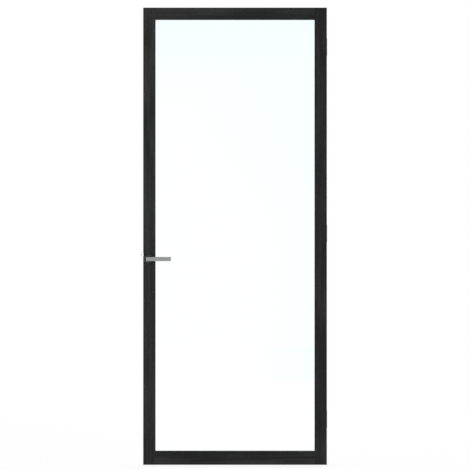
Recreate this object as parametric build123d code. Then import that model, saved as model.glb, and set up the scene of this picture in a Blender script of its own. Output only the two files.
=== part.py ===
from build123d import *
import math
import os

# Hinged glass door leaf: two stiles and two rails round one clear pane, with lever handles on both
# faces, a narrow mortise latch and three butt hinges.
# Millimetres. The front face looks to -Y, +X is to the right seen from the front, +Z is up.
# The origin is the middle of the leaf's foot.

# How far a cut or a joined piece runs past the face that it meets
overlap = 1.0

# Leaf
leaf_height = 2315.0
leaf_width = 930.0
leaf_thickness = 40.0
stile_width = 61.0
top_rail_height = 60.0
bottom_rail_height = 69.0

# Tenons of the rails in the stiles
tenon_thickness = 12.0
tenon_reach = 36.0
tenon_edge = 12.0
tenon_shoulder = 5.0
tenon_fit = 0.1
tenon_end_gap = 1.0

# Glazing rebate, open to the back
lip_thickness = 12.0
rebate_depth = 14.0
glass_thickness = 8.0
glass_edge_gap = 4.0
glass_arris = 1.0
seal_thickness = 3.0
seal_show = 1.0
bead_slope = 5.0
block_length = 80.0
block_inset = 110.0

# Lever handles
lever_height = 1042.0
backset = 25.0
lever_length = 121.0
lever_bar_height = 20.0
lever_end = 8.0
lever_bar_depth = 10.0
lever_edge = 0.8
lever_projection = 55.0
neck_radius = 8.0
neck_end_gap = 1.0
neck_hole_gap = 1.0
spindle_side = 8.0
spindle_fit = 0.05
spindle_socket = 30.0
spindle_end_gap = 1.0
rose_radius = 22.5
rose_height = 9.0
rose_wall = 1.2
rose_fit = 0.3
rose_base_height = 5.0
rose_bore_fit = 0.05

# Mortise latch
case_height = 110.0
case_depth = 37.0
case_thickness = 16.0
case_wall = 1.5
case_fit = 0.3
case_middle_above_lever = 8.0
forend_length = 165.0
forend_width = 20.0
forend_thickness = 3.0
forend_fit = 0.1
cover_tab = 8.0
cover_tab_inset = 14.0
cover_tab_fit = 0.1
latch_rise = 21.0
latch_throw = 11.0
latch_head_thickness = 12.0
latch_head_height = 24.0
latch_head_in_case = 5.0
latch_nose = 4.0
latch_bulge = 1.0
latch_fit = 0.3
latch_tail_height = 16.0
latch_lug = 4.0
window_fit = 0.3
follower_side_gap = 0.2
journal_radius = 7.0
journal_fit = 0.05
arm_width = 4.0
arm_thickness = 5.0
arm_tip_radius = 3.0
heel_reach = 10.0
heel_width = 3.0
heel_tip_radius = 2.0
spring_strip = 0.8
spring_width = 8.0
spring_height = 21.0
spring_base = 16.0
spring_foot_bend = 3.0
spring_top_bend = 2.0
spring_overhang = 0.8
spring_gap = 0.3
spring_wall_gap = 0.5
spring_seat_height = 2.0

# Hinges
hinge_count = 3
hinge_height = 89.0
hinge_wing = 40.0
hinge_plate = 3.0
hinge_joint_gap = 2.0
hinge_plate_gap = 0.5
hinge_barrel_radius = 7.0
hinge_barrel_clear = 1.0
hinge_notch_clear = 0.5
hinge_knuckles = 3
hinge_knuckle_gap = 0.3
hinge_recess_fit = 0.1
hinge_foot_offset = 230.0
hinge_top_offset = 200.0
hinge_pin_radius = 3.5
hinge_pin_fit = 0.05
hinge_pin_head_radius = 6.0
hinge_pin_head_height = 2.5
hinge_hole_radius = 2.6
hinge_hole_rows = 60.0
hinge_hole_columns = 17.0

# Places worked out from the sizes above
edge = leaf_width / 2
front = -leaf_thickness / 2
back = leaf_thickness / 2
sight_x = edge - stile_width
sight_low = bottom_rail_height
sight_high = leaf_height - top_rail_height
lip_back = front + lip_thickness
glass_front = lip_back + seal_thickness
glass_back = glass_front + glass_thickness
bead_front = glass_back + seal_thickness
bite = rebate_depth - glass_edge_gap

lever_x = -edge + backset
latch_z = lever_height + latch_rise
lever_turn = 2 * math.degrees(math.asin(latch_throw / 2 / latch_rise))
case_front = -edge + forend_thickness
case_back = case_front + case_depth
case_z = lever_height + case_middle_above_lever
case_low = case_z - case_height / 2
case_high = case_z + case_height / 2
case_side = case_thickness / 2
case_inside = case_side - case_wall

hinge_axis_x = edge + hinge_joint_gap - hinge_barrel_radius
hinge_axis_y = back + hinge_barrel_clear + hinge_barrel_radius
frame_plate_x = edge + hinge_joint_gap - hinge_plate
leaf_plate_x = frame_plate_x - hinge_plate_gap - hinge_plate
plate_front = hinge_axis_y - hinge_wing
plate_notch = hinge_axis_y - hinge_barrel_radius - hinge_notch_clear
hinge_hole_y = (plate_front + plate_notch) / 2
hinge_span = leaf_height - hinge_foot_offset - hinge_top_offset
hinge_places = [hinge_foot_offset + n * hinge_span / (hinge_count - 1) for n in range(hinge_count)]
knuckle_length = (hinge_height - (hinge_knuckles - 1) * hinge_knuckle_gap) / hinge_knuckles

LOW = (Align.MIN, Align.MIN, Align.MIN)
ON_END = (Align.CENTER, Align.CENTER, Align.MIN)
TO_FRONT = (0, -1, 0)
TO_BACK = (0, 1, 0)
TO_RIGHT = (1, 0, 0)
UP = (0, 0, 1)


def block(x, y, z):
    """A straight-sided piece between two values along each axis."""
    size = Box(max(x) - min(x), max(y) - min(y), max(z) - min(z), align=LOW)
    return Pos(min(x), min(y), min(z)) * size


def rod(start, direction, radius, length):
    return Plane(origin=start, z_dir=direction) * Cylinder(radius, length, align=ON_END)


def group(pieces):
    return Compound(children=pieces)


# Stiles and rails


def stile(side):
    """One upright: a wide front lip and a narrower back, with a mortise for each rail."""
    inner = side * sight_x
    rebate = side * (sight_x + rebate_depth)
    outer = side * edge
    corners = [
        (inner, front),
        (outer, front),
        (outer, back),
        (rebate, back),
        (rebate, lip_back),
        (inner, lip_back),
    ]
    upright = extrude(make_face(Polyline(*corners, close=True)), amount=leaf_height, dir=UP)
    for low, high in tenon_heights():
        upright -= block(
            (rebate, rebate + side * (tenon_reach + tenon_end_gap)),
            (-tenon_thickness / 2 - tenon_fit, tenon_thickness / 2 + tenon_fit),
            (low - tenon_fit, high + tenon_fit),
        )
    return upright


def tenon_heights():
    bottom = (tenon_edge, bottom_rail_height - rebate_depth - tenon_shoulder)
    top = (
        leaf_height - top_rail_height + rebate_depth + tenon_shoulder,
        leaf_height - tenon_edge,
    )
    return [bottom, top]


def rail(outer, sight, rebate, tenon):
    """One crosspiece, whose back reaches further than its lip, into the stiles' rebates."""
    long_shoulder = sight_x + rebate_depth
    tenon_end = long_shoulder + tenon_reach
    lip = block((-sight_x, sight_x), (front, lip_back), (outer, sight))
    body = block((-long_shoulder, long_shoulder), (lip_back, back), (outer, rebate))
    half = tenon_thickness / 2
    return lip + body + block((-tenon_end, tenon_end), (-half, half), tenon)


def bottom_rail():
    rebate = sight_low - rebate_depth
    return rail(0, sight_low, rebate, tenon_heights()[0])


def top_rail():
    rebate = sight_high + rebate_depth
    return rail(leaf_height, sight_high, rebate, tenon_heights()[1])


def lock_stile():
    upright = stile(-1)
    upright -= block(
        (-edge - overlap, case_back + case_fit),
        (-case_side - case_fit, case_side + case_fit),
        (case_low - case_fit, case_high + case_fit),
    )
    upright -= forend_plate(forend_fit)
    hole_radius = neck_radius + neck_hole_gap
    return upright - rod((lever_x, front, lever_height), TO_BACK, hole_radius, leaf_thickness)


def hinge_stile():
    upright = stile(1)
    for z in hinge_places:
        half = hinge_height / 2 + hinge_recess_fit
        upright -= block(
            (leaf_plate_x, edge + overlap),
            (plate_front - hinge_recess_fit, back + overlap),
            (z - half, z + half),
        )
    return upright


# Pane and glazing


def strip_corners(side, sight, width):
    """Corners in XZ of one mitred strip of a frame, from the sight line's offset outwards."""
    inner = (sight_x - sight, sight_low + sight, sight_high - sight)
    outer = (inner[0] + width, inner[1] - width, inner[2] + width)
    if side in ("lock", "hinge"):
        sign = -1 if side == "lock" else 1
        return [
            (sign * inner[0], inner[1]),
            (sign * outer[0], outer[1]),
            (sign * outer[0], outer[2]),
            (sign * inner[0], inner[2]),
        ]
    level = 1 if side == "foot" else 2
    return [
        (-inner[0], inner[level]),
        (-outer[0], outer[level]),
        (outer[0], outer[level]),
        (inner[0], inner[level]),
    ]


def strip_face(side, sight, width, y):
    corners = strip_corners(side, sight, width)
    return make_face(Polyline(*[(x, y, z) for x, z in corners], close=True))


def mitred_strip(side, sight, width, y):
    return extrude(strip_face(side, sight, width, y[0]), amount=y[1] - y[0], dir=TO_BACK)


def seal(side, y):
    return mitred_strip(side, seal_show, seal_show + bite, y)


def bead(side):
    """A glazing bead with its inner corner sloped off towards the back."""
    slope_start = back - bead_slope
    square = mitred_strip(side, 0, rebate_depth, (bead_front, slope_start))
    sloped = loft(
        [
            strip_face(side, 0, rebate_depth, slope_start),
            strip_face(side, -bead_slope, rebate_depth - bead_slope, back),
        ]
    )
    return square + sloped


def glass_pane():
    half = sight_x + bite
    pane = block((-half, half), (glass_front, glass_back), (sight_low - bite, sight_high + bite))
    return chamfer(pane.edges(), glass_arris)


def setting_blocks():
    """Two blocks under the pane carry its weight."""
    low = sight_low - rebate_depth
    middle = sight_x - block_inset
    return [
        block(
            (sign * middle - block_length / 2, sign * middle + block_length / 2),
            (lip_back, bead_front),
            (low, low + glass_edge_gap),
        )
        for sign in (-1, 1)
    ]


def location_blocks():
    """Blocks above and beside the pane keep it central in its rebate."""
    high = sight_high + rebate_depth
    middle = sight_x - block_inset
    blocks = [
        block(
            (sign * middle - block_length / 2, sign * middle + block_length / 2),
            (lip_back, bead_front),
            (high - glass_edge_gap, high),
        )
        for sign in (-1, 1)
    ]
    outer = sight_x + rebate_depth
    for sign in (-1, 1):
        for z in (sight_low + block_inset, sight_high - block_inset):
            blocks.append(
                block(
                    (sign * (outer - glass_edge_gap), sign * outer),
                    (lip_back, bead_front),
                    (z - block_length / 2, z + block_length / 2),
                )
            )
    return blocks


# Lever handles


def lever():
    """The front handle: a flat square-ended bar on a round neck with a square socket."""
    outer = front - lever_projection
    inner = outer + lever_bar_depth
    left = lever_x - lever_end
    half = lever_bar_height / 2
    bar = block(
        (left, left + lever_length), (outer, inner), (lever_height - half, lever_height + half)
    )
    bar = chamfer(bar.edges(), lever_edge)
    neck_end = front - neck_end_gap
    neck_start = inner - overlap
    neck = rod((lever_x, neck_start, lever_height), TO_BACK, neck_radius, neck_end - neck_start)
    side = spindle_side / 2 + spindle_fit
    socket = block(
        (lever_x - side, lever_x + side),
        (neck_end - spindle_socket, neck_end),
        (lever_height - side, lever_height + side),
    )
    return bar + neck - socket


def spindle():
    half = leaf_thickness / 2 + neck_end_gap + spindle_socket - spindle_end_gap
    side = spindle_side / 2
    return block(
        (lever_x - side, lever_x + side), (-half, half), (lever_height - side, lever_height + side)
    )


def rose_cover():
    """A thin round cap that slips over the rose base and rests on the leaf."""
    start = (lever_x, front, lever_height)
    outside = rod(start, TO_FRONT, rose_radius, rose_height)
    inside = rod(start, TO_FRONT, rose_radius - rose_wall, rose_height - rose_wall)
    return outside - inside - rod(start, TO_FRONT, neck_radius + rose_fit, rose_height)


def rose_base():
    """The bearing plate of the front handle, on the stile under the cover."""
    start = (lever_x, front, lever_height)
    base = rod(start, TO_FRONT, rose_radius - rose_wall - rose_fit, rose_base_height)
    return base - rod(start, TO_FRONT, neck_radius + rose_bore_fit, rose_base_height)


def to_back(shape):
    """The same piece on the back of the leaf."""
    return mirror(shape, about=Plane.XZ)


# Mortise latch


def forend_plate(fit=0.0):
    """The round-ended plate let into the leaf's edge."""
    outline = SlotOverall(forend_length + 2 * fit, forend_width + 2 * fit)
    plate = Plane(origin=(-edge, 0, case_z), x_dir=UP, z_dir=TO_RIGHT)
    return extrude(plate * outline, amount=forend_thickness)


def latch_hole(x):
    """The hole that the latch head slides in."""
    half_y = latch_head_thickness / 2 + latch_fit
    half_z = latch_head_height / 2 + latch_fit
    return block(x, (-half_y, half_y), (latch_z - half_z, latch_z + half_z))


def forend():
    return forend_plate() - latch_hole((-edge, case_front))


def journal_hole():
    start = (lever_x, -case_side, lever_height)
    return rod(start, TO_BACK, journal_radius + journal_fit, case_thickness)


def cover_tabs(fit=0.0):
    """Four lugs of the case's rim that are staked through notches in its cover."""
    half = cover_tab / 2 + fit
    tabs = []
    for x in ((case_front, case_front + case_wall + fit), (case_back - case_wall - fit, case_back)):
        for z in (case_low + cover_tab_inset, case_high - cover_tab_inset):
            tabs.append(block(x, (case_inside, case_side), (z - half, z + half)))
    return tabs


def lock_case():
    """A tray open to the back, with lugs for its cover and a shelf for the spring."""
    case = block((case_front, case_back), (-case_side, case_inside), (case_low, case_high))
    case -= block(
        (case_front + case_wall, case_back - case_wall),
        (-case_inside, case_inside),
        (case_low + case_wall, case_high - case_wall),
    )
    case += cover_tabs()
    case = case - journal_hole() - latch_hole((case_front, case_front + case_wall))
    left = spring_back() - spring_base
    shelf_low = spring_foot() - spring_seat_height
    shelf_back = spring_width / 2
    return case + block(
        (left, case_back - case_wall), (-case_inside, shelf_back), (shelf_low, spring_foot())
    )


def case_cover():
    cover = block((case_front, case_back), (case_inside, case_side), (case_low, case_high))
    return cover - cover_tabs(cover_tab_fit) - journal_hole()


def follower():
    """The hub on the spindle: a long arm draws the latch, a short heel presses the spring."""
    half_arm = arm_thickness / 2
    arm = block((-arm_width / 2, arm_width / 2), (-half_arm, half_arm), (0, latch_rise))
    arm += rod((0, -half_arm, latch_rise), TO_BACK, arm_tip_radius, arm_thickness)
    heel = block((0, heel_reach), (-half_arm, half_arm), (-heel_width / 2, heel_width / 2))
    heel += rod((heel_reach, -half_arm, 0), TO_BACK, heel_tip_radius, arm_thickness)
    arms = Pos(lever_x, 0, lever_height) * Rot(0, -lever_turn / 2, 0) * (arm + heel)
    journal_end = case_side - follower_side_gap
    hub = rod((lever_x, -journal_end, lever_height), TO_BACK, journal_radius, 2 * journal_end)
    half = spindle_side / 2 + spindle_fit
    square = block(
        (lever_x - half, lever_x + half),
        (-journal_end, journal_end),
        (lever_height - half, lever_height + half),
    )
    return hub + arms - square


def arm_tip_x():
    return lever_x - latch_rise * math.sin(math.radians(lever_turn / 2))


def latch_bolt():
    """A head bevelled towards the front, and a tail whose lug stands behind the follower's arm."""
    tip = -edge - latch_throw
    rear = case_front + latch_head_in_case
    half = latch_head_thickness / 2
    nose = half - latch_nose
    bevel_end = -edge - forend_thickness / 2
    bevel_middle = ((tip + bevel_end) / 2 - latch_bulge, (nose - half) / 2 - latch_bulge)
    outline = Polyline((bevel_end, -half), (rear, -half), (rear, half), (tip, half), (tip, nose))
    bevel = ThreePointArc((tip, nose), bevel_middle, (bevel_end, -half))
    face = make_face(Wire([*outline.edges(), bevel]))
    head_low = latch_z - latch_head_height / 2
    head = extrude(Pos(0, 0, head_low) * face, amount=latch_head_height, dir=UP)
    lug_front = arm_tip_x() + arm_tip_radius + window_fit
    tail_low = latch_z - latch_tail_height / 2
    tail_high = latch_z + latch_tail_height / 2
    tail = block((rear, lug_front + latch_lug), (-half, half), (tail_low, tail_high))
    gap = arm_thickness / 2 + window_fit
    window_left = arm_tip_x() - arm_tip_radius - window_fit
    window_top = latch_z + arm_tip_radius + window_fit
    window = block((window_left, lug_front), (-gap, gap), (tail_low, window_top))
    sway = block(
        (window_left - arm_width, lug_front + latch_lug),
        (-gap, gap),
        (tail_low, latch_z - arm_tip_radius - window_fit),
    )
    return head + tail - window - sway


def heel_x():
    return lever_x + heel_reach * math.cos(math.radians(lever_turn / 2))


def spring_back():
    """Middle of the strip where it rises beside the case's rear wall."""
    return case_back - case_wall - spring_wall_gap - spring_strip / 2


def spring_top():
    heel_low = heel_reach * math.sin(math.radians(lever_turn / 2)) - heel_tip_radius
    return lever_height + heel_low - spring_gap


def spring_foot():
    return spring_top() - spring_height


def follower_spring():
    """A bent strip: it lies on the shelf, rises along the rear wall and turns in under the heel."""
    low = spring_foot() + spring_strip / 2
    high = spring_top() - spring_strip / 2
    right = spring_back()
    corners = [
        (right - spring_base, 0, low),
        (right, 0, low),
        (right, 0, high),
        (heel_x() - spring_overhang, 0, high),
    ]
    path = FilletPolyline(*corners, radius=[spring_foot_bend, spring_top_bend])
    section = Plane(origin=path @ 0, x_dir=UP, z_dir=path % 0) * Rectangle(spring_strip, spring_width)
    return sweep(section, path=path)


# Hinges


def knuckle_low(z, n):
    return z - hinge_height / 2 + n * (knuckle_length + hinge_knuckle_gap)


def hinge_wing_piece(z, plate_x, own):
    """A flat wing whose own knuckles stand on its edge, notched for the other wing's."""
    half = hinge_height / 2
    wing = block(
        (plate_x, plate_x + hinge_plate), (plate_front, plate_notch), (z - half, z + half)
    )
    for n in own:
        low = knuckle_low(z, n)
        wing += block(
            (plate_x, plate_x + hinge_plate), (plate_notch, hinge_axis_y), (low, low + knuckle_length)
        )
        wing += rod((hinge_axis_x, hinge_axis_y, low), UP, hinge_barrel_radius, knuckle_length)
    start = (hinge_axis_x, hinge_axis_y, z - half)
    return wing - rod(start, UP, hinge_pin_radius + hinge_pin_fit, hinge_height)


def leaf_wing(z):
    return hinge_wing_piece(z, leaf_plate_x, range(1, hinge_knuckles, 2))


def frame_wing(z):
    """The wing that is screwed to the door frame."""
    wing = hinge_wing_piece(z, frame_plate_x, range(0, hinge_knuckles, 2))
    for column in (-1, 1):
        for row in (-1, 1):
            y = hinge_hole_y + column * hinge_hole_columns / 2
            level = z + row * hinge_hole_rows / 2
            wing -= rod((frame_plate_x, y, level), TO_RIGHT, hinge_hole_radius, hinge_plate)
    return wing


def hinge_pin(z):
    half = hinge_height / 2
    pin = rod((hinge_axis_x, hinge_axis_y, z - half), UP, hinge_pin_radius, hinge_height)
    top = (hinge_axis_x, hinge_axis_y, z + half)
    return pin + rod(top, UP, hinge_pin_head_radius, hinge_pin_head_height)


# All pieces by name


def pieces():
    door = {
        "lock_stile": lock_stile(),
        "hinge_stile": hinge_stile(),
        "bottom_rail": bottom_rail(),
        "top_rail": top_rail(),
        "glass_pane": glass_pane(),
        "setting_blocks": group(setting_blocks()),
        "location_blocks": group(location_blocks()),
        "front_lever": lever(),
        "back_lever": to_back(lever()),
        "spindle": spindle(),
        "front_rose_cover": rose_cover(),
        "back_rose_cover": to_back(rose_cover()),
        "front_rose_base": rose_base(),
        "back_rose_base": to_back(rose_base()),
        "forend": forend(),
        "lock_case": lock_case(),
        "lock_case_cover": case_cover(),
        "follower": follower(),
        "follower_spring": follower_spring(),
        "latch_bolt": latch_bolt(),
    }
    for side in ("lock", "hinge", "foot", "top"):
        door[f"front_seal_{side}_side"] = seal(side, (lip_back, glass_front))
        door[f"back_seal_{side}_side"] = seal(side, (glass_back, bead_front))
        door[f"glazing_bead_{side}_side"] = bead(side)
    for n, z in enumerate(hinge_places, 1):
        door[f"hinge_{n}_leaf_wing"] = leaf_wing(z)
        door[f"hinge_{n}_frame_wing"] = frame_wing(z)
        door[f"hinge_{n}_pin"] = hinge_pin(z)
    return door


os.makedirs("parts", exist_ok=True)
for name, piece in pieces().items():
    export_step(piece, f"parts/{name}.step")
print("lever turns", round(lever_turn, 3), "degrees for a throw of", latch_throw)
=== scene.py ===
import math

import bmesh
import bpy
from mathutils import Matrix, Vector


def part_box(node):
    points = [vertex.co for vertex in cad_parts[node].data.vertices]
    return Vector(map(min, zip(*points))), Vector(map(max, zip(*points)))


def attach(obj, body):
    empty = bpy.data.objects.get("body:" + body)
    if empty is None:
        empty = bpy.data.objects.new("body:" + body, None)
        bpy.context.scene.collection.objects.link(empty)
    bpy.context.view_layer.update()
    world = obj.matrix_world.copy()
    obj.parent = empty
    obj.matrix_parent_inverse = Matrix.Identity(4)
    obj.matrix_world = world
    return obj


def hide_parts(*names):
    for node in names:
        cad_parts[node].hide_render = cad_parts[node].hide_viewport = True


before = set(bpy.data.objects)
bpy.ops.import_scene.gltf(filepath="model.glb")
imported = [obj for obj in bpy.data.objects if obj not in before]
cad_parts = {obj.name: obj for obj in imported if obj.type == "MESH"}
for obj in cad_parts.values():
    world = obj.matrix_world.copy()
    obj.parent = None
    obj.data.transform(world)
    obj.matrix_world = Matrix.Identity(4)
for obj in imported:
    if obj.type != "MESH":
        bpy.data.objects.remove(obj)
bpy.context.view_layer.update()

# Metres throughout. The front of the leaf looks to -Y, +X is the hinge side, +Z is up.
MM = 0.001
X, Y, Z = 0, 1, 2
HALF = 0.5

# The photograph: its side, and where the leaf stands in it, in pixels
PHOTO_SIDE = 470
PHOTO_LEAF_TOP = 7.61
PHOTO_LEAF_FOOT = 464.84
PHOTO_LEAF_MIDDLE = 235.03

# Camera
LENS = 200.0
SENSOR = 36.0
CLIP_NEAR = 0.1
CLIP_FAR = 200.0
LEVEL_LOOK = (math.radians(90), 0, 0)

# Timber and the pins of its glazing beads. A pin's place across its bead is a share of the depth.
ARRIS = 0.7 * MM
JOINT_ARRIS = 0.25 * MM
BEAD_PIN_RADIUS = 1.3 * MM
BEAD_PIN_CROWN = 0.7
BEAD_PIN_PROUD = 0.12 * MM
BEAD_PIN_SHOULDER = 0.8
BEAD_PIN_BURIED = 1 * MM
BEAD_PIN_INSET = 90 * MM
BEAD_PIN_ACROSS = 0.32
BEAD_PINS_UPRIGHT = 6
BEAD_PINS_LEVEL = 3

# Lever handles
LEVER_BAR_DEPTH = 10 * MM
LEVER_EDGE = 0.9 * MM
LEVER_EDGE_STEPS = 4
NECK_RADIUS = 7.98 * MM
NECK_BURIED = 1 * MM
NECK_GROOVE = 0.5 * MM
GRUB_RADIUS = 2.5 * MM
GRUB_HOLE = 6 * MM
GRUB_DEPTH = 1.2 * MM
GRUB_EDGE = 0.3 * MM
GRUB_LENGTH = 4.5 * MM
GRUB_KEY = 1.3 * MM
GRUB_KEY_DEPTH = 2 * MM
GRUB_FROM_ROSE = 11 * MM
HEXAGON = 6

# Roses
ROSE_EDGE = 3.0 * MM
ROSE_WALL = 1.2 * MM
ROSE_FIT = 0.3 * MM
ROSE_FOOT_EDGE = 0.2 * MM
ROSE_BORE_EDGE = 0.3 * MM

# Hinges. A plate ends where its knuckles begin, which is given in Y.
HINGE_HOLE_RADIUS = 2.6 * MM
HINGE_HOLE_ROWS = 60 * MM
HINGE_HOLE_COLUMNS = 17 * MM
HINGE_PLATE = 3 * MM
HINGE_PLATE_END = 20.5 * MM
HINGE_GAP = 0.5 * MM
HINGE_SINK_MOUTH = 4.7 * MM
HINGE_SINK_DEPTH = 2.1 * MM
HINGE_SCREW_LENGTH = 9 * MM
HINGE_SCREW_SUNK = 0.1 * MM
WING_EDGE = 0.35 * MM
HINGE_PIN_SHANK = 3.5 * MM
HINGE_PIN_HEAD = 2.5 * MM
HINGE_PIN_DOME = 0.55
DOME_STEPS = 5

# Forend and latch
FOREND_SCREW_INSET = 10.5 * MM
FOREND_HOLE_RADIUS = 2.0 * MM
FOREND_SINK_MOUTH = 3.9 * MM
FOREND_SINK_DEPTH = 1.8 * MM
FOREND_SCREW_LENGTH = 6 * MM
FOREND_SCREW_SUNK = 0.08 * MM
FOREND_SCREW_TURN = 0.4
FOREND_EDGE = 0.25 * MM
LATCH_EDGE = 0.35 * MM

# Countersunk screws
SCREW_FIT = 0.12 * MM
SCREW_RIM = 0.25 * MM
CROSS_WIDTH = 0.28
CROSS_REACH = 0.62
CROSS_SUNK = 0.75
TURN_BY_SCREW = 0.9
TURN_BY_HINGE = 0.5

# Mesh work: the bench is in millimetres
SMOOTH_ANGLE = math.radians(32)
FLAT_ANGLE = math.radians(0.5)
WELD = 0.005 * MM
AXIS_WELD = WELD / 10
BENCH_DIGITS = 3
BENCH_SLIVER = 0.002
LARGE_FACES_LEAD = 100
EDGE_STEPS = 2
CUT_CLEAR = 1 * MM
SINK_CLEAR = 0.5 * MM
FINE = 96
SMALL = 40
TINY = 16

# World and floor. A range gives the two ends of a soft change, in metres.
WHITE = (1.0, 1.0, 1.0, 1.0)
AMBIENT = 0.62
FLOOR_DROP = 9 * MM
FLOOR_SIDE = 60.0
FLOOR_CLOUDS = 1.5
FLOOR_DARK = (0.87, 0.87, 0.87, 1.0)
FLOOR_LIGHT = (0.9, 0.9, 0.9, 1.0)
FLOOR_SHADE = 0.16
FLOOR_LIT = (2.2, 4.5)
FLOOR_MIRRORED = 1.05
FLOOR_MIRRORED_AHEAD = (-1.2, -0.3)
FLOOR_MIRRORED_ASIDE = (0.9, 1.8)
FLOOR_COOL = (0.28, 0.98, 1.0, 1.0)
FLOOR_COOL_AHEAD = (-8.3, -6.9)
FLOOR_COOL_RIGHT = (0.0, 0.8)

# The board behind the camera. Its ranges are shares of its width and height, the rim's from its middle.
CARD_BRIGHT = (1.78, 1.35, 1.35, 1.0)
CARD_COOL = (0.03, 1.12, 1.19, 1.0)
CARD_WIDTH = 2.2
CARD_HEIGHT = 5.2
CARD_BEHIND = 0.6
CARD_TOP = (0.72, 0.93)
CARD_CORNER = (0.82, 1.2)
CARD_CORNER_SLANT = 0.6
CARD_CORNER_MOST = 0.6
CARD_SIDE = (0.6, 0.86)
CARD_SIDE_FOOT = (0.24, 0.28)
CARD_SIDE_MOST = 0.45
CARD_RIM_ACROSS = (0.38, 0.5)
CARD_RIM_UP = (0.43, 0.5)

# Lamps: place, width, height and power of each
LAMPS = {
    "key": ((-4.6, -6.0, 1.2), 3.0, 3.4, 305),
    "fill": ((4.8, -5.6, 1.0), 3.0, 2.4, 108),
    "overhead": ((-0.3, -1.4, 5.5), 1.6, 0.8, 55),
    "rear": ((2.5, 5.5, 3.0), 4.4, 4.4, 240),
}
LAMPS_AIM = (0, 0, 1.2)


# Colours


def linear(level):
    """A grey or a colour channel as it is seen on a screen, from 0 to 255, made linear."""
    share = level / 255
    return share / 12.92 if share <= 0.04045 else ((share + 0.055) / 1.055) ** 2.4


def colour(red, green, blue):
    return (linear(red), linear(green), linear(blue), 1.0)


def scaled(tint, factor):
    """A colour made lighter or darker, no lighter than white."""
    return tuple(min(1.0, channel * factor) for channel in tint[:3]) + (1.0,)


TIMBER_DARK = colour(19, 19, 20)
TIMBER_LIGHT = colour(41, 41, 41)
TIMBER_PORE = colour(10, 10, 11)
LEVER_STEEL = colour(129, 128, 128)
HINGE_STEEL = colour(165, 165, 166)
LATCH_STEEL = colour(214, 214, 214)
ROSE_BLACK = colour(15, 15, 16)
SEAL_BLACK = colour(26, 26, 27)
PLASTIC_BLACK = colour(40, 40, 41)
ZINC_DARK = colour(140, 143, 148)
ZINC_LIGHT = colour(176, 179, 183)
GLASS_TINT = (0.965, 1.0, 0.996, 1.0)

# Timber finish: how far the grain is drawn out, what each pattern adds to tone, roughness and
# height, and how far the rails' inner and outer edges lie from the leaf's middle height
GRAIN_DRAWN = 0.035
PORES_DRAWN = 0.05
FIGURE_TONE = 0.6
STREAK_TONE = 0.25
BOARD_TONE = 0.3
STAIN_RANGE = (0.4, 0.76)
PORE_RANGE = (0.56, 0.68)
PORE_STRENGTH = 0.75
CUT_END_RANGE = (0.6, 0.85)
SPECKLE_RANGE = (0.42, 0.62)
TIMBER_ROUGH = 0.44
STREAK_ROUGH = 0.12
PORE_ROUGH = 0.16
CUT_END_ROUGH = 0.15
STREAK_HEIGHT = 0.35
FIGURE_HEIGHT = 0.25
SPECKLE_HEIGHT = 0.5
GRAIN_DEPTH = 0.12 * MM
LEAF_MIDDLE = 1.162
# The rails' painted shade by the pane runs from dark to light between these two heights.
RAIL_EDGES = (1.093, 1.155)

# Brushed metal and coated metal
BRUSHING_DRAWN = 0.02
SCRATCH_TONE = 0.7
CLOUD_TONE = 0.3
BRUSHED_DARK = 0.88
BRUSHED_LIGHT = 1.1
SCRATCH_ROUGH = 0.1
CLOUD_ROUGH = 0.05
COAT_LIGHT = 1.3
PEEL_ROUGH = 0.1
PEEL_DEPTH = 0.03 * MM

# Seals, zinc and glass
BLOOM_RANGE = (0.45, 0.75)
BLOOM_LIGHT = 1.8
SEAL_ROUGH = 0.62
GRIT_ROUGH = 0.2
GRIT_DEPTH = 0.04 * MM
SPANGLES = 420.0
SPANGLE_DEPTH = 0.02 * MM
ZINC_ROUGH = 0.28
ZINC_CLOUD_ROUGH = 0.18
WAVE_DRAWN = (1.0, 1.0, 4.0)
WAVE_DEPTH = 0.02 * MM


# Finishes


class Value:
    """What a node gives, on its way through a finish. Arithmetic on a number adds Math nodes."""

    def __init__(self, finish, socket):
        self.finish = finish
        self.socket = socket

    def math(self, operation, *values):
        return self.finish.node("ShaderNodeMath", {"operation": operation}, dict(enumerate(values)))

    def __add__(self, other):
        return self.math("ADD", self, other)

    def __radd__(self, other):
        return self.math("ADD", other, self)

    def __sub__(self, other):
        return self.math("SUBTRACT", self, other)

    def __rsub__(self, other):
        return self.math("SUBTRACT", other, self)

    def __mul__(self, other):
        return self.math("MULTIPLY", self, other)

    def __rmul__(self, other):
        return self.math("MULTIPLY", other, self)

    def size(self):
        return self.math("ABSOLUTE", self)

    def most(self, other):
        return self.math("MAXIMUM", self, other)


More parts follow.
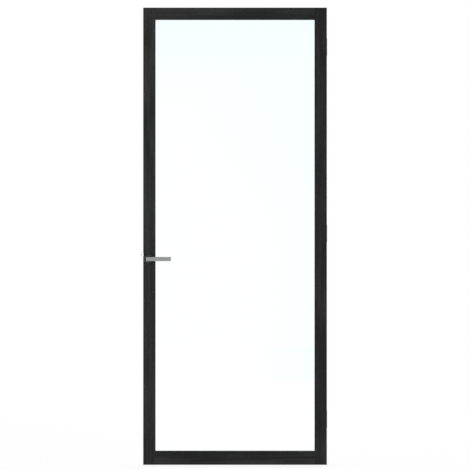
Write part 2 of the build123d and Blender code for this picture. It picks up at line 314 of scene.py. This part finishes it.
class Finish:
    """A set of shader nodes being put together, for a material or for the world."""

    def __init__(self, name, constants=(), world=False):
        self.made = (bpy.data.worlds if world else bpy.data.materials).new(name)
        self.made.use_nodes = True
        self.tree = self.made.node_tree
        self.shader = self.tree.nodes["Background" if world else "Principled BSDF"]
        self.plain = Value(self, self.shader.outputs[0])
        for socket, value in dict(constants).items():
            self.shader.inputs[socket].default_value = value

    def node(self, kind, settings, sockets, output=0):
        """Adds a node: its settings first, then the values or links of its sockets."""
        made = self.tree.nodes.new(kind)
        for key, value in settings.items():
            setattr(made, key, value)
        for key, value in sockets.items():
            self.plug(made.inputs[key], value)
        return Value(self, made.outputs[output])

    def plug(self, socket, value):
        if isinstance(value, Value):
            self.tree.links.new(value.socket, socket)
        else:
            socket.default_value = value

    def feed(self, socket, value):
        self.plug(self.shader.inputs[socket], value)

    def show(self, surface):
        """Makes this the surface, in place of the plain shader."""
        self.plug(self.tree.nodes["Material Output"].inputs["Surface"], surface)

    def place(self):
        """Where a point is on the part, in metres, whatever the pose."""
        return self.node("ShaderNodeTexCoord", {}, {}, "Object")

    def axis_part(self, vector, axis):
        return self.node("ShaderNodeSeparateXYZ", {}, {0: vector}, axis)

    def stretched(self, vector, factors):
        return self.node("ShaderNodeVectorMath", {"operation": "MULTIPLY"}, {0: vector, 1: factors})

    def drawn(self, vector, along, factor):
        """The vector with one axis shortened, so that a pattern on it is drawn out that way."""
        return self.stretched(vector, [factor if axis == along else 1.0 for axis in (X, Y, Z)])

    def noise(self, vector, scale, detail=2.0, roughness=0.5, distortion=0.0):
        values = {"Scale": scale, "Detail": detail, "Roughness": roughness, "Distortion": distortion}
        return self.node("ShaderNodeTexNoise", {}, {"Vector": vector, **values})

    def step(self, value, low, high, start=0.0, end=1.0):
        """From start to end as the value goes from low to high, softly."""
        settings = {"interpolation_type": "SMOOTHSTEP", "clamp": True}
        return self.node("ShaderNodeMapRange", settings, {0: value, 1: low, 2: high, 3: start, 4: end})

    def mix(self, share, first, second):
        settings = {"data_type": "RGBA", "clamp_factor": True}
        return self.node("ShaderNodeMix", settings, {0: share, 6: first, 7: second}, 2)

    def ray(self, kind):
        """1 for rays of one kind, 0 for all others."""
        return self.node("ShaderNodeLightPath", {}, {}, f"Is {kind} Ray")

    def glow(self, tint, strength=1.0):
        return self.node("ShaderNodeEmission", {}, {"Color": tint, "Strength": strength})

    def bump(self, height, depth, strength=1.0):
        values = {"Height": height, "Distance": depth, "Strength": strength}
        return self.node("ShaderNodeBump", {}, values, "Normal")


def timber(name, along, shade=0.0, painted_pane_shade=0.0):
    """Oak stained near black: slow figure, fine streaks and open pores run along the grain.

    Each board is made lighter or darker as a whole, which is painted light as if lit from the lock side,
    and the rails get painted shade: darker next to the pane and lighter toward their outer edges.
    """
    finish = Finish(name, {"Specular IOR Level": 0.1})
    place = finish.place()
    grain = finish.drawn(place, along, GRAIN_DRAWN)
    figure = finish.noise(grain, scale=95, detail=3.0, roughness=0.55, distortion=0.6)
    streaks = finish.noise(grain, scale=620, roughness=0.6)
    boards = finish.noise(place, scale=3.2, detail=1.0)
    pricks = finish.noise(finish.drawn(place, along, PORES_DRAWN), scale=1900, detail=1.0, roughness=0.4)
    pores = finish.step(pricks, *PORE_RANGE)
    # Painted light: the board's shade lightens or darkens it as a whole, as the light from the lock side
    # would.
    tone = figure * FIGURE_TONE + streaks * STREAK_TONE + boards * BOARD_TONE + shade
    # Painted shade: the rails are darker next to the pane and lighter toward their outer edges.
    if painted_pane_shade:
        from_middle = (finish.axis_part(place, Z) - LEAF_MIDDLE).size()
        tone = tone + finish.step(from_middle, *RAIL_EDGES, -painted_pane_shade, painted_pane_shade)
    stained = finish.mix(finish.step(tone, *STAIN_RANGE), TIMBER_DARK, TIMBER_LIGHT)
    face = finish.mix(pores * PORE_STRENGTH, stained, TIMBER_PORE)
    normal = finish.node("ShaderNodeTexCoord", {}, {}, "Normal")
    cut_end = finish.step(finish.axis_part(normal, along).size(), *CUT_END_RANGE)
    speckle = finish.step(finish.noise(place, scale=1500, roughness=0.6), *SPECKLE_RANGE)
    end_grain = finish.mix(speckle, TIMBER_PORE, TIMBER_DARK)
    finish.feed("Base Color", finish.mix(cut_end, face, end_grain))
    rough = TIMBER_ROUGH + streaks * STREAK_ROUGH + pores * PORE_ROUGH + cut_end * CUT_END_ROUGH
    finish.feed("Roughness", rough)
    height = streaks * STREAK_HEIGHT + figure * FIGURE_HEIGHT
    height = height - pores * (1 - cut_end) - speckle * cut_end * SPECKLE_HEIGHT
    finish.feed("Normal", finish.bump(height, GRAIN_DEPTH, strength=0.7))
    return finish.made


def brushed(name, tint, along, roughness, groove=0.02 * MM):
    """Satin metal, brushed along one axis."""
    finish = Finish(name, {"Metallic": 1.0})
    place = finish.place()
    lines = finish.drawn(place, along, BRUSHING_DRAWN)
    scratches = finish.noise(lines, scale=5200, detail=3.0, roughness=0.65)
    clouds = finish.noise(place, scale=70)
    tone = scratches * SCRATCH_TONE + clouds * CLOUD_TONE
    finish.feed("Base Color", finish.mix(tone, scaled(tint, BRUSHED_DARK), scaled(tint, BRUSHED_LIGHT)))
    finish.feed("Roughness", roughness + scratches * SCRATCH_ROUGH + clouds * CLOUD_ROUGH)
    finish.feed("Normal", finish.bump(scratches, groove, strength=0.5))
    return finish.made


def coated(name, tint, roughness):
    """Powder-coated metal with a very fine orange peel."""
    finish = Finish(name, {"Specular IOR Level": 0.35})
    place = finish.place()
    peel = finish.noise(place, scale=1300)
    clouds = finish.noise(place, scale=45)
    finish.feed("Base Color", finish.mix(clouds, tint, scaled(tint, COAT_LIGHT)))
    finish.feed("Roughness", roughness + peel * PEEL_ROUGH)
    finish.feed("Normal", finish.bump(peel, PEEL_DEPTH, strength=0.5))
    return finish.made


def rubber(name, tint):
    """Extruded seal: matt, with a fine grit and a little bloom."""
    finish = Finish(name, {"Specular IOR Level": 0.3})
    place = finish.place()
    bloom = finish.step(finish.noise(place, scale=60, detail=3.0, roughness=0.6), *BLOOM_RANGE)
    grit = finish.noise(place, scale=2600, detail=1.0)
    finish.feed("Base Color", finish.mix(bloom, tint, scaled(tint, BLOOM_LIGHT)))
    finish.feed("Roughness", SEAL_ROUGH + grit * GRIT_ROUGH)
    finish.feed("Normal", finish.bump(grit, GRIT_DEPTH, strength=0.6))
    return finish.made


def zinc(name):
    """Zinc-plated pressed steel with a faint spangle."""
    finish = Finish(name, {"Metallic": 1.0})
    place = finish.place()
    spangle = finish.node("ShaderNodeTexVoronoi", {}, {"Vector": place, "Scale": SPANGLES})
    clouds = finish.noise(place, scale=90, detail=3.0, roughness=0.6)
    finish.feed("Base Color", finish.mix(spangle * HALF + clouds * HALF, ZINC_DARK, ZINC_LIGHT))
    finish.feed("Roughness", ZINC_ROUGH + clouds * ZINC_CLOUD_ROUGH)
    finish.feed("Normal", finish.bump(spangle, SPANGLE_DEPTH, strength=0.4))
    return finish.made


def clear_glass(name):
    """Float glass: a breath of green-blue, with the faintest roller wave in its surface."""
    constants = {
        "Base Color": GLASS_TINT,
        "Transmission Weight": 1.0,
        "Roughness": 0.0,
        "IOR": 1.5,
    }
    finish = Finish(name, constants)
    wave = finish.noise(finish.stretched(finish.place(), WAVE_DRAWN), scale=1.6, detail=1.0)
    finish.feed("Normal", finish.bump(wave, WAVE_DEPTH, strength=0.3))
    return finish.made


FINISHES = {
    # Painted light: each board's shade makes the hinge-side stile darkest and the lock-side stile
    # lightest, as if lit from the lock side.
    "lock_side_timber": timber("lock_side_timber", Z, shade=-0.01),
    "hinge_side_timber": timber("hinge_side_timber", Z, shade=-0.08),
    "level_timber": timber("level_timber", X, shade=-0.02, painted_pane_shade=0.07),
    "glass": clear_glass("glass"),
    "seal": rubber("seal", SEAL_BLACK),
    "lever_steel": brushed("lever_steel", LEVER_STEEL, X, roughness=0.3),
    "rose_black": coated("rose_black", ROSE_BLACK, roughness=0.28),
    "hinge_steel": brushed("hinge_steel", HINGE_STEEL, Z, roughness=0.34),
    "forend_steel": brushed("forend_steel", HINGE_STEEL, Z, roughness=0.24),
    "latch_steel": brushed("latch_steel", LATCH_STEEL, X, roughness=0.3, groove=0.01 * MM),
    "screw_steel": brushed("screw_steel", HINGE_STEEL, Y, roughness=0.22),
    "zinc": zinc("zinc"),
    "block_plastic": coated("block_plastic", PLASTIC_BLACK, roughness=0.5),
}

# Which finish each carried-over node wears
LEVEL = ("foot", "top")
UPRIGHT = ("lock", "hinge")
NODE_FINISH = {
    "lock_stile": "lock_side_timber",
    "hinge_stile": "hinge_side_timber",
    "bottom_rail": "level_timber",
    "top_rail": "level_timber",
    "glass_pane": "glass",
    "setting_blocks": "block_plastic",
    "location_blocks": "block_plastic",
    "front_lever": "lever_steel",
    "back_lever": "lever_steel",
    "spindle": "zinc",
    "front_rose_cover": "rose_black",
    "back_rose_cover": "rose_black",
    "front_rose_base": "block_plastic",
    "back_rose_base": "block_plastic",
    "forend": "forend_steel",
    "lock_case": "zinc",
    "lock_case_cover": "zinc",
    "follower": "zinc",
    "follower_spring": "hinge_steel",
    "latch_bolt": "latch_steel",
}
for side in UPRIGHT + LEVEL:
    NODE_FINISH[f"front_seal_{side}_side"] = "seal"
    NODE_FINISH[f"back_seal_{side}_side"] = "seal"
    bead_timber = "level_timber" if side in LEVEL else f"{side}_side_timber"
    NODE_FINISH[f"glazing_bead_{side}_side"] = bead_timber


# Mesh work


def stood(name, data):
    """A new object in the scene that holds a mesh, a lamp or a camera."""
    made = bpy.data.objects.new(name, data)
    bpy.context.scene.collection.objects.link(made)
    return made


def piece(name, mesh, finish, body, stands_for=()):
    """A new piece of the object, riding on its body."""
    made = stood(name, mesh)
    made.data.materials.clear()
    made.data.materials.append(FINISHES[finish])
    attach(made, body)
    if stands_for:
        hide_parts(*stands_for)
    return made


def evaluated(target):
    """The mesh that an object's modifiers leave. The object goes."""
    bpy.context.view_layer.update()
    graph = bpy.context.evaluated_depsgraph_get()
    mesh = bpy.data.meshes.new_from_object(target.evaluated_get(graph))
    bpy.data.objects.remove(target)
    return mesh


def settled(mesh):
    """Smooth shading on round surfaces, with flat faces kept flat and real edges kept sharp."""
    mesh.shade_smooth()
    mesh.set_sharp_from_angle(angle=SMOOTH_ANGLE)
    target = stood("target", mesh)
    even = target.modifiers.new("even_shading", "WEIGHTED_NORMAL")
    even.keep_sharp = True
    even.weight = LARGE_FACES_LEAD
    return evaluated(target)


def mesh_of(shape, name="mesh"):
    """The shape as a mesh whose faces look outward. The shape goes."""
    bmesh.ops.recalc_face_normals(shape, faces=shape.faces)
    if shape.calc_volume(signed=True) < 0:
        bmesh.ops.reverse_faces(shape, faces=shape.faces)
    mesh = bpy.data.meshes.new(name)
    shape.to_mesh(mesh)
    shape.free()
    return mesh


def turned(profile, steps):
    """A turned solid about the Z axis, from the outline of its half section."""
    shape = bmesh.new()
    points = [shape.verts.new((radius, 0, height)) for radius, height in profile]
    edges = [shape.edges.new(pair) for pair in zip(points, points[1:])]
    bmesh.ops.spin(
        shape,
        geom=points + edges,
        cent=(0, 0, 0),
        axis=(0, 0, 1),
        angle=2 * math.pi,
        steps=steps,
        use_merge=True,
    )
    bmesh.ops.remove_doubles(shape, verts=shape.verts, dist=AXIS_WELD)
    return shape


def plain_bar(radius, top, foot, steps=SMALL):
    """A plain bar about the Z axis, round or with as many sides as steps."""
    return turned([(0, top), (radius, top), (radius, foot), (0, foot)], steps)


def rounded(radius, centre, start, end, steps=8):
    """Points on an arc, angles in degrees, for a profile's rounded edge."""
    angles = [math.radians(start + (end - start) * n / steps) for n in range(steps + 1)]
    return [(centre[0] + radius * math.cos(a), centre[1] + radius * math.sin(a)) for a in angles]


def slab(low, high, edge=0.0, steps=3):
    """A straight-sided block, with softened edges where an edge is given."""
    shape = bmesh.new()
    bmesh.ops.create_cube(shape, size=1.0)
    bmesh.ops.scale(shape, verts=shape.verts, vec=Vector(high) - Vector(low))
    bmesh.ops.translate(shape, verts=shape.verts, vec=(Vector(low) + Vector(high)) / 2)
    if edge:
        edges = shape.edges[:]
        bmesh.ops.bevel(shape, geom=edges, offset=edge, segments=steps, affect="EDGES", profile=0.5)
    return shape


def flat(name, half_side):
    """A level square about the origin."""
    shape = bmesh.new()
    bmesh.ops.create_grid(shape, x_segments=1, y_segments=1, size=half_side)
    return stood(name, mesh_of(shape, name))


def moved(shape, matrix):
    shape.transform(matrix)
    return shape


def pointing(place, direction):
    """The matrix that puts a turned solid's foot at a place, with its Z axis along a direction."""
    return Matrix.Translation(place) @ Vector(direction).to_track_quat("Z", "Y").to_matrix().to_4x4()


def joined(shapes):
    """Several solids as one mesh, side by side."""
    whole = bmesh.new()
    for shape in shapes:
        part = mesh_of(shape)
        whole.from_mesh(part)
        bpy.data.meshes.remove(part)
    return whole


def bench(mesh):
    """The matrix that brings a mesh to the origin, in millimetres: small cuts come out clean there."""
    corner = Vector([round(part / MM) * MM for part in mesh.vertices[0].co])
    return Matrix.Scale(1 / MM, 4) @ Matrix.Translation(-corner)


def laid(mesh, place):
    """The mesh on the bench, with its points rounded, so that flat faces are truly flat."""
    mesh.transform(place)
    for vertex in mesh.vertices:
        vertex.co = [round(part, BENCH_DIGITS) for part in vertex.co]
    return mesh


def lifted(target, place):
    """What the modifiers leave of an object on the bench, without slivers, back where it belongs."""
    shape = bmesh.new()
    shape.from_mesh(evaluated(target))
    bmesh.ops.dissolve_degenerate(shape, dist=BENCH_SLIVER, edges=shape.edges)
    bmesh.ops.transform(shape, matrix=place.inverted(), verts=shape.verts)
    return mesh_of(shape)


def combined(mesh, shapes, operation):
    """The mesh with each shape added to it or cut out of it."""
    place = bench(mesh)
    target = stood("target", laid(mesh, place))
    tools = [stood("tool", laid(mesh_of(shape), place)) for shape in shapes]
    for tool in tools:
        change = target.modifiers.new("change", "BOOLEAN")
        change.operation = operation
        change.solver = "EXACT"
        change.object = tool
    result = lifted(target, place)
    for tool in tools:
        bpy.data.objects.remove(tool)
    return result


def node_mesh(name):
    """A welded copy of a carried-over node's mesh, with flat faces made whole again."""
    shape = bmesh.new()
    shape.from_mesh(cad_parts[name].data)
    bmesh.ops.remove_doubles(shape, verts=shape.verts, dist=WELD)
    bmesh.ops.dissolve_limit(shape, angle_limit=FLAT_ANGLE, verts=shape.verts, edges=shape.edges)
    return mesh_of(shape, name)


def add_edges(target, width):
    """Softens an object's sharp edges, by a modifier."""
    bevel = target.modifiers.new("soft_edges", "BEVEL")
    bevel.width = width
    bevel.segments = EDGE_STEPS
    bevel.limit_method = "ANGLE"
    bevel.angle_limit = SMOOTH_ANGLE
    bevel.harden_normals = False


def edged(mesh, width):
    """The mesh with its sharp edges softened."""
    place = bench(mesh)
    target = stood("target", laid(mesh, place))
    add_edges(target, width / MM)
    return lifted(target, place)


# Screws and their holes


def sink_cutter(hole, mouth, depth, through):
    """What a countersink bit and a drill leave, from the face down along -Z."""
    slope = (mouth - hole) / depth
    profile = [
        (0, SINK_CLEAR),
        (mouth + slope * SINK_CLEAR, SINK_CLEAR),
        (hole, -depth),
        (hole, -through - SINK_CLEAR),
        (0, -through - SINK_CLEAR),
    ]
    return turned(profile, SMALL)


def sunk_holes(name, sink, through, places):
    """A copy of a node's mesh with a countersunk hole at each place."""
    cutters = [moved(sink_cutter(*sink, through), place) for place in places]
    return combined(node_mesh(name), cutters, "DIFFERENCE")


def screw(hole, mouth, depth, length, turn):
    """A countersunk screw for such a hole, its head's face at the origin and up along +Z."""
    shank = hole - SCREW_FIT
    head = mouth - SCREW_FIT
    profile = [
        (0, 0),
        (head - SCREW_RIM, 0),
        (head, -SCREW_RIM),
        (shank, -depth),
        (shank, -length),
        (0, -length),
    ]
    arm, reach = head * CROSS_WIDTH / 2, head * CROSS_REACH
    sunk = depth * CROSS_SUNK
    cuts = [
        slab((-reach, -arm, -sunk), (reach, arm, CUT_CLEAR)),
        slab((-arm, -reach, -sunk), (arm, reach, CUT_CLEAR)),
    ]
    shape = bmesh.new()
    shape.from_mesh(combined(mesh_of(turned(profile, SMALL)), cuts, "DIFFERENCE"))
    return moved(shape, Matrix.Rotation(turn, 4, "Z"))


def grub_screw(name, mouth):
    """A headless screw with a hexagon socket, a little below the neck's skin."""
    top = -GRUB_DEPTH
    radius = GRUB_RADIUS - SCREW_FIT / 2
    profile = [
        (0, top),
        (GRUB_RADIUS - GRUB_EDGE, top),
        (radius, top - GRUB_EDGE),
        (radius, top - GRUB_LENGTH),
        (0, top - GRUB_LENGTH),
    ]
    body = mesh_of(turned(profile, SMALL))
    key = plain_bar(GRUB_KEY, CUT_CLEAR, top - GRUB_KEY_DEPTH, HEXAGON)
    mesh = combined(body, [key], "DIFFERENCE")
    mesh.transform(pointing(mouth, (0, 0, -1)))
    piece(name, settled(mesh), "screw_steel", "lever")


# Timber and glazing


def dress_nodes():
    """Gives every carried-over node its finish, with soft arrises on the timber."""
    for name, finish in NODE_FINISH.items():
        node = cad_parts[name]
        node.data.materials.clear()
        node.data.materials.append(FINISHES[finish])
    for name in [n for n, finish in NODE_FINISH.items() if finish.endswith("timber")]:
        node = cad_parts[name]
        weld = node.modifiers.new("weld", "WELD")
        weld.merge_threshold = WELD
        add_edges(node, JOINT_ARRIS if name.endswith("rail") else ARRIS)
    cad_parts["glass_pane"].visible_shadow = False


def spaced(low, high, count):
    """Places for pins, evenly spread between two ends with an inset at each."""
    first = low + BEAD_PIN_INSET
    stride = (high - BEAD_PIN_INSET - first) / (count - 1)
    return [first + n * stride for n in range(count)]


def bead_pins():
    """Stopped pin heads in the inner faces of the glazing beads."""
    low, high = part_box("glazing_bead_lock_side")
    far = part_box("glazing_bead_hinge_side")[1][X]
    width = high[X] - low[X]
    left, right = high[X], far - width
    foot, top = low[Z] + width, high[Z] - width
    y = low[Y] + (high[Y] - low[Y]) * BEAD_PIN_ACROSS
    places = []
    for z in spaced(foot, top, BEAD_PINS_UPRIGHT):
        places.append(((left, y, z), (1, 0, 0)))
        places.append(((right, y, z), (-1, 0, 0)))
    for x in spaced(left, right, BEAD_PINS_LEVEL):
        places.append(((x, y, foot), (0, 0, 1)))
        places.append(((x, y, top), (0, 0, -1)))
    profile = [
        (0, BEAD_PIN_PROUD),
        (BEAD_PIN_RADIUS * BEAD_PIN_CROWN, BEAD_PIN_PROUD * BEAD_PIN_SHOULDER),
        (BEAD_PIN_RADIUS, 0),
        (BEAD_PIN_RADIUS, -BEAD_PIN_BURIED),
        (0, -BEAD_PIN_BURIED),
    ]
    heads = [moved(turned(profile, TINY), pointing(*where)) for where in places]
    mesh = settled(mesh_of(joined(heads), "bead_pins"))
    piece("bead_pins", mesh, "seal", "leaf")


# Lever handles


def lever(name, rose_name, back):
    """A flat bar on a turned neck, with its grub screw's hole underneath."""
    low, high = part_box(name)
    rose_low, rose_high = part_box(rose_name)
    outer = high[Y] if back else low[Y]
    inner = outer + (-LEVER_BAR_DEPTH if back else LEVER_BAR_DEPTH)
    neck_end = low[Y] if back else high[Y]
    axis = (rose_low + rose_high) / 2
    grub = rose_high[Y] + GRUB_FROM_ROSE if back else rose_low[Y] - GRUB_FROM_ROSE
    bar_low = (low[X], min(outer, inner), low[Z])
    bar_high = (high[X], max(outer, inner), high[Z])
    bar = mesh_of(slab(bar_low, bar_high, LEVER_EDGE, LEVER_EDGE_STEPS))
    toward = Vector((0, 1 if neck_end > inner else -1, 0))
    length = abs(neck_end - inner)
    profile = [
        (0, -NECK_BURIED),
        (NECK_RADIUS, -NECK_BURIED),
        (NECK_RADIUS, length - NECK_GROOVE),
        (NECK_RADIUS - NECK_GROOVE, length),
        (0, length),
    ]
    neck = moved(turned(profile, FINE), pointing(Vector((axis[X], inner, axis[Z])), toward))
    handle = combined(bar, [neck], "UNION")
    mouth = Vector((axis[X], grub, axis[Z] - NECK_RADIUS))
    hole = moved(plain_bar(GRUB_RADIUS, CUT_CLEAR, -GRUB_HOLE), pointing(mouth, (0, 0, -1)))
    handle = combined(handle, [hole], "DIFFERENCE")
    handle.name = name
    piece(f"{name}_handle", settled(handle), "lever_steel", "lever", [name])
    grub_screw(f"{name}_grub_screw", mouth)


def rose(name, back):
    """A spun cap with a rounded rim, hollow behind."""
    low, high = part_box(name)
    radius = (high[X] - low[X]) / 2
    height = high[Y] - low[Y]
    foot = low[Y] if back else high[Y]
    place = Vector(((low[X] + high[X]) / 2, foot, (low[Z] + high[Z]) / 2))
    bore = NECK_RADIUS + ROSE_FIT
    inner = radius - ROSE_WALL
    profile = [
        (inner, 0),
        (radius - ROSE_FOOT_EDGE, 0),
        (radius, ROSE_FOOT_EDGE),
        *rounded(ROSE_EDGE, (radius - ROSE_EDGE, height - ROSE_EDGE), 0, 90),
        (bore + ROSE_BORE_EDGE, height),
        (bore, height - ROSE_BORE_EDGE),
        (bore, height - ROSE_WALL),
        (inner, height - ROSE_WALL),
        (inner, 0),
    ]
    cap = moved(turned(profile, FINE), pointing(place, (0, 1 if back else -1, 0)))
    piece(f"{name}_cap", settled(mesh_of(cap, name)), "rose_black", "leaf", [name])


# Hinges


def hinge_hole_places(wing):
    """Middles of a wing's screw holes in Y and Z."""
    low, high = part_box(wing)
    y = (low[Y] + HINGE_PLATE_END) / 2
    z = (low[Z] + high[Z]) / 2
    return [
        (y + column * HINGE_HOLE_COLUMNS / 2, z + row * HINGE_HOLE_ROWS / 2)
        for column in (-1, 1)
        for row in (-1, 1)
    ]


def hinge(number):
    """Both wings countersunk and softened, the pin, and the screws of the leaf's wing."""
    frame_wing = f"hinge_{number}_frame_wing"
    leaf_wing = f"hinge_{number}_leaf_wing"
    frame_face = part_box(frame_wing)[1][X] - HINGE_PLATE
    leaf_face = frame_face - HINGE_GAP
    holes = hinge_hole_places(frame_wing)
    drilled_wing(frame_wing, frame_face, (-1, 0, 0), holes, "frame_side")
    drilled_wing(leaf_wing, leaf_face, (1, 0, 0), holes, "leaf")
    sink = (HINGE_HOLE_RADIUS, HINGE_SINK_MOUTH, HINGE_SINK_DEPTH)
    screws = []
    for n, (y, z) in enumerate(holes):
        one = screw(*sink, HINGE_SCREW_LENGTH, TURN_BY_SCREW * n + TURN_BY_HINGE * number)
        screws.append(moved(one, pointing((leaf_face - HINGE_SCREW_SUNK, y, z), (1, 0, 0))))
    mesh = settled(mesh_of(joined(screws), f"hinge_{number}_screws"))
    piece(f"hinge_{number}_screws", mesh, "screw_steel", "leaf")
    hinge_pin(f"hinge_{number}_pin")


def drilled_wing(name, face, outward, holes, body):
    """One wing with its countersunk holes and soft edges."""
    sink = (HINGE_HOLE_RADIUS, HINGE_SINK_MOUTH, HINGE_SINK_DEPTH)
    places = [pointing((face, y, z), outward) for y, z in holes]
    mesh = settled(edged(sunk_holes(name, sink, HINGE_PLATE, places), WING_EDGE))
    piece(f"{name}_plate", mesh, "hinge_steel", body, [name])


def hinge_pin(name):
    """A turned pin with a domed head."""
    low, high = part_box(name)
    radius = (high[X] - low[X]) / 2
    place = Vector(((low[X] + high[X]) / 2, (low[Y] + high[Y]) / 2, low[Z]))
    length = high[Z] - low[Z]
    dome = HINGE_PIN_HEAD * HINGE_PIN_DOME
    profile = [
        (0, 0),
        (HINGE_PIN_SHANK, 0),
        (HINGE_PIN_SHANK, length - HINGE_PIN_HEAD),
        (radius, length - HINGE_PIN_HEAD),
        (radius, length - dome),
        *rounded(dome, (radius - dome, length - dome), 0, 90, DOME_STEPS),
        (0, length),
    ]
    mesh = settled(mesh_of(moved(turned(profile, FINE), Matrix.Translation(place)), name))
    piece(f"{name}_turned", mesh, "hinge_steel", "frame_side", [name])


# Forend and latch


def forend():
    """The latch's face plate with its two countersunk screws."""
    low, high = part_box("forend")
    middle = (low[Y] + high[Y]) / 2
    levels = (low[Z] + FOREND_SCREW_INSET, high[Z] - FOREND_SCREW_INSET)
    sink = (FOREND_HOLE_RADIUS, FOREND_SINK_MOUTH, FOREND_SINK_DEPTH)
    places = [pointing((low[X], middle, z), (-1, 0, 0)) for z in levels]
    mesh = settled(edged(sunk_holes("forend", sink, high[X] - low[X], places), FOREND_EDGE))
    piece("forend_plate", mesh, "forend_steel", "leaf", ["forend"])
    screws = []
    for n, z in enumerate(levels):
        one = screw(*sink, FOREND_SCREW_LENGTH, FOREND_SCREW_TURN + n)
        screws.append(moved(one, pointing((low[X] + FOREND_SCREW_SUNK, middle, z), (-1, 0, 0))))
    mesh = settled(mesh_of(joined(screws), "forend_screws"))
    piece("forend_screws", mesh, "screw_steel", "leaf")


def latch_head():
    """The latch bolt with eased edges."""
    mesh = settled(edged(node_mesh("latch_bolt"), LATCH_EDGE))
    piece("latch_bolt_eased", mesh, "latch_steel", "latch", ["latch_bolt"])


# Stage, light and camera


def background_rays(finish):
    """1 for rays that should see a white background, 0 for those that light the object."""
    return finish.ray("Camera").most(finish.ray("Glossy")).most(finish.ray("Transmission"))


def make_world():
    """White to the eye, with an even grey light of its own."""
    world = Finish("studio", world=True)
    seen = background_rays(world)
    world.feed("Color", WHITE)
    world.feed("Strength", seen + (1 - seen) * AMBIENT)
    bpy.context.scene.world = world.made


def make_floor():
    """A pale floor that is white to the eye and still takes the object's shadow.

    In a mirror it is brighter ahead of the door, and cooler far ahead on the right.
    """
    finish = Finish("floor", {"Roughness": 0.9, "Specular IOR Level": 0.0})
    place = finish.place()
    finish.feed("Base Color", finish.mix(finish.noise(place, FLOOR_CLOUDS), FLOOR_DARK, FLOOR_LIGHT))
    across, along = finish.axis_part(place, X), finish.axis_part(place, Y)
    mirrored = finish.ray("Glossy") * (1 - finish.ray("Transmission"))
    ahead = finish.step(along, *FLOOR_MIRRORED_AHEAD, 1.0, 0.0)
    ahead = ahead * finish.step(across.size(), *FLOOR_MIRRORED_ASIDE, 1.0, 0.0)
    far = finish.step(along, *FLOOR_COOL_AHEAD, 1.0, 0.0) * finish.step(across, *FLOOR_COOL_RIGHT)
    tint = finish.mix(mirrored * far, WHITE, FLOOR_COOL)
    glow = finish.glow(tint, 1 + mirrored * ahead * FLOOR_MIRRORED)
    away = finish.node("ShaderNodeVectorMath", {"operation": "LENGTH"}, {0: place}, "Value")
    shade = finish.step(away, *FLOOR_LIT, FLOOR_SHADE, 0.0)
    seen = background_rays(finish) * (1 - shade)
    finish.show(finish.node("ShaderNodeMixShader", {}, {0: seen, 1: finish.plain, 2: glow}))
    floor = flat("floor", FLOOR_SIDE / 2)
    floor.location[Z] = leaf_low[Z] - FLOOR_DROP
    floor.data.materials.append(finish.made)


def make_card(camera_y):
    """A board behind the camera that only reflections see.

    It is bright, cool along the top and the right, and fades to plain white at its rim.
    """
    finish = Finish("card")
    spread = finish.node("ShaderNodeTexCoord", {}, {}, "Generated")
    right = finish.axis_part(spread, X)
    up = finish.axis_part(spread, Y)
    top = finish.step(up, *CARD_TOP)
    corner = finish.step(up + right * CARD_CORNER_SLANT, *CARD_CORNER, 0.0, CARD_CORNER_MOST)
    side = finish.step(right, *CARD_SIDE, 0.0, CARD_SIDE_MOST) * finish.step(up, *CARD_SIDE_FOOT)
    cool = top.most(corner).most(side)
    inside = finish.step((right - HALF).size(), *CARD_RIM_ACROSS, 1.0, 0.0)
    inside = inside * finish.step((up - HALF).size(), *CARD_RIM_UP, 1.0, 0.0)
    tint = finish.mix(inside, WHITE, finish.mix(cool, CARD_BRIGHT, CARD_COOL))
    finish.show(finish.glow(tint))
    card = flat("card", HALF)
    card.scale = (CARD_WIDTH, CARD_HEIGHT, 1)
    card.rotation_euler = LEVEL_LOOK
    card.location = (0, camera_y - CARD_BEHIND, camera_height())
    card.data.materials.append(finish.made)
    card.visible_camera = False
    card.visible_diffuse = False
    card.visible_transmission = False
    card.visible_shadow = False


def softbox(name, place, width, height, power):
    """One rectangular lamp, aimed at the door, and not seen through the glass."""
    lamp = bpy.data.lights.new(name, "AREA")
    lamp.shape = "RECTANGLE"
    lamp.size = width
    lamp.size_y = height
    lamp.energy = power
    holder = stood(name, lamp)
    holder.location = place
    holder.visible_transmission = False
    direction = Vector(LAMPS_AIM) - Vector(place)
    holder.rotation_euler = direction.to_track_quat("-Z", "Y").to_euler()


def camera_height():
    """The leaf's middle height, moved by what the photograph's middle lies off it."""
    middle = (PHOTO_LEAF_TOP + PHOTO_LEAF_FOOT) / 2
    return (leaf_low[Z] + leaf_high[Z]) / 2 + (middle - PHOTO_SIDE / 2) * metres_per_pixel


def make_camera():
    """A level camera square on the leaf, at the distance that gives the photograph's scale."""
    data = bpy.data.cameras.new("camera")
    data.lens = LENS
    data.sensor_width = SENSOR
    data.clip_start = CLIP_NEAR
    data.clip_end = CLIP_FAR
    camera = stood("camera", data)
    distance = PHOTO_SIDE * metres_per_pixel * LENS / SENSOR
    x = (leaf_low[X] + leaf_high[X]) / 2 + (PHOTO_SIDE / 2 - PHOTO_LEAF_MIDDLE) * metres_per_pixel
    camera.location = (x, leaf_low[Y] - distance, camera_height())
    camera.rotation_euler = LEVEL_LOOK
    bpy.context.scene.camera = camera
    return camera


leaf_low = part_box("lock_stile")[0]
leaf_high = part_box("hinge_stile")[1]
metres_per_pixel = (leaf_high[Z] - leaf_low[Z]) / (PHOTO_LEAF_FOOT - PHOTO_LEAF_TOP)

dress_nodes()
bead_pins()
lever("front_lever", "front_rose_cover", back=False)
lever("back_lever", "back_rose_cover", back=True)
rose("front_rose_cover", back=False)
rose("back_rose_cover", back=True)
for number in (1, 2, 3):
    hinge(number)
forend()
latch_head()

bpy.context.scene.view_settings.view_transform = "Standard"
camera = make_camera()
make_world()
make_floor()
make_card(camera.location[Y])
for lamp_name, (place, width, height, power) in LAMPS.items():
    softbox(lamp_name, place, width, height, power)
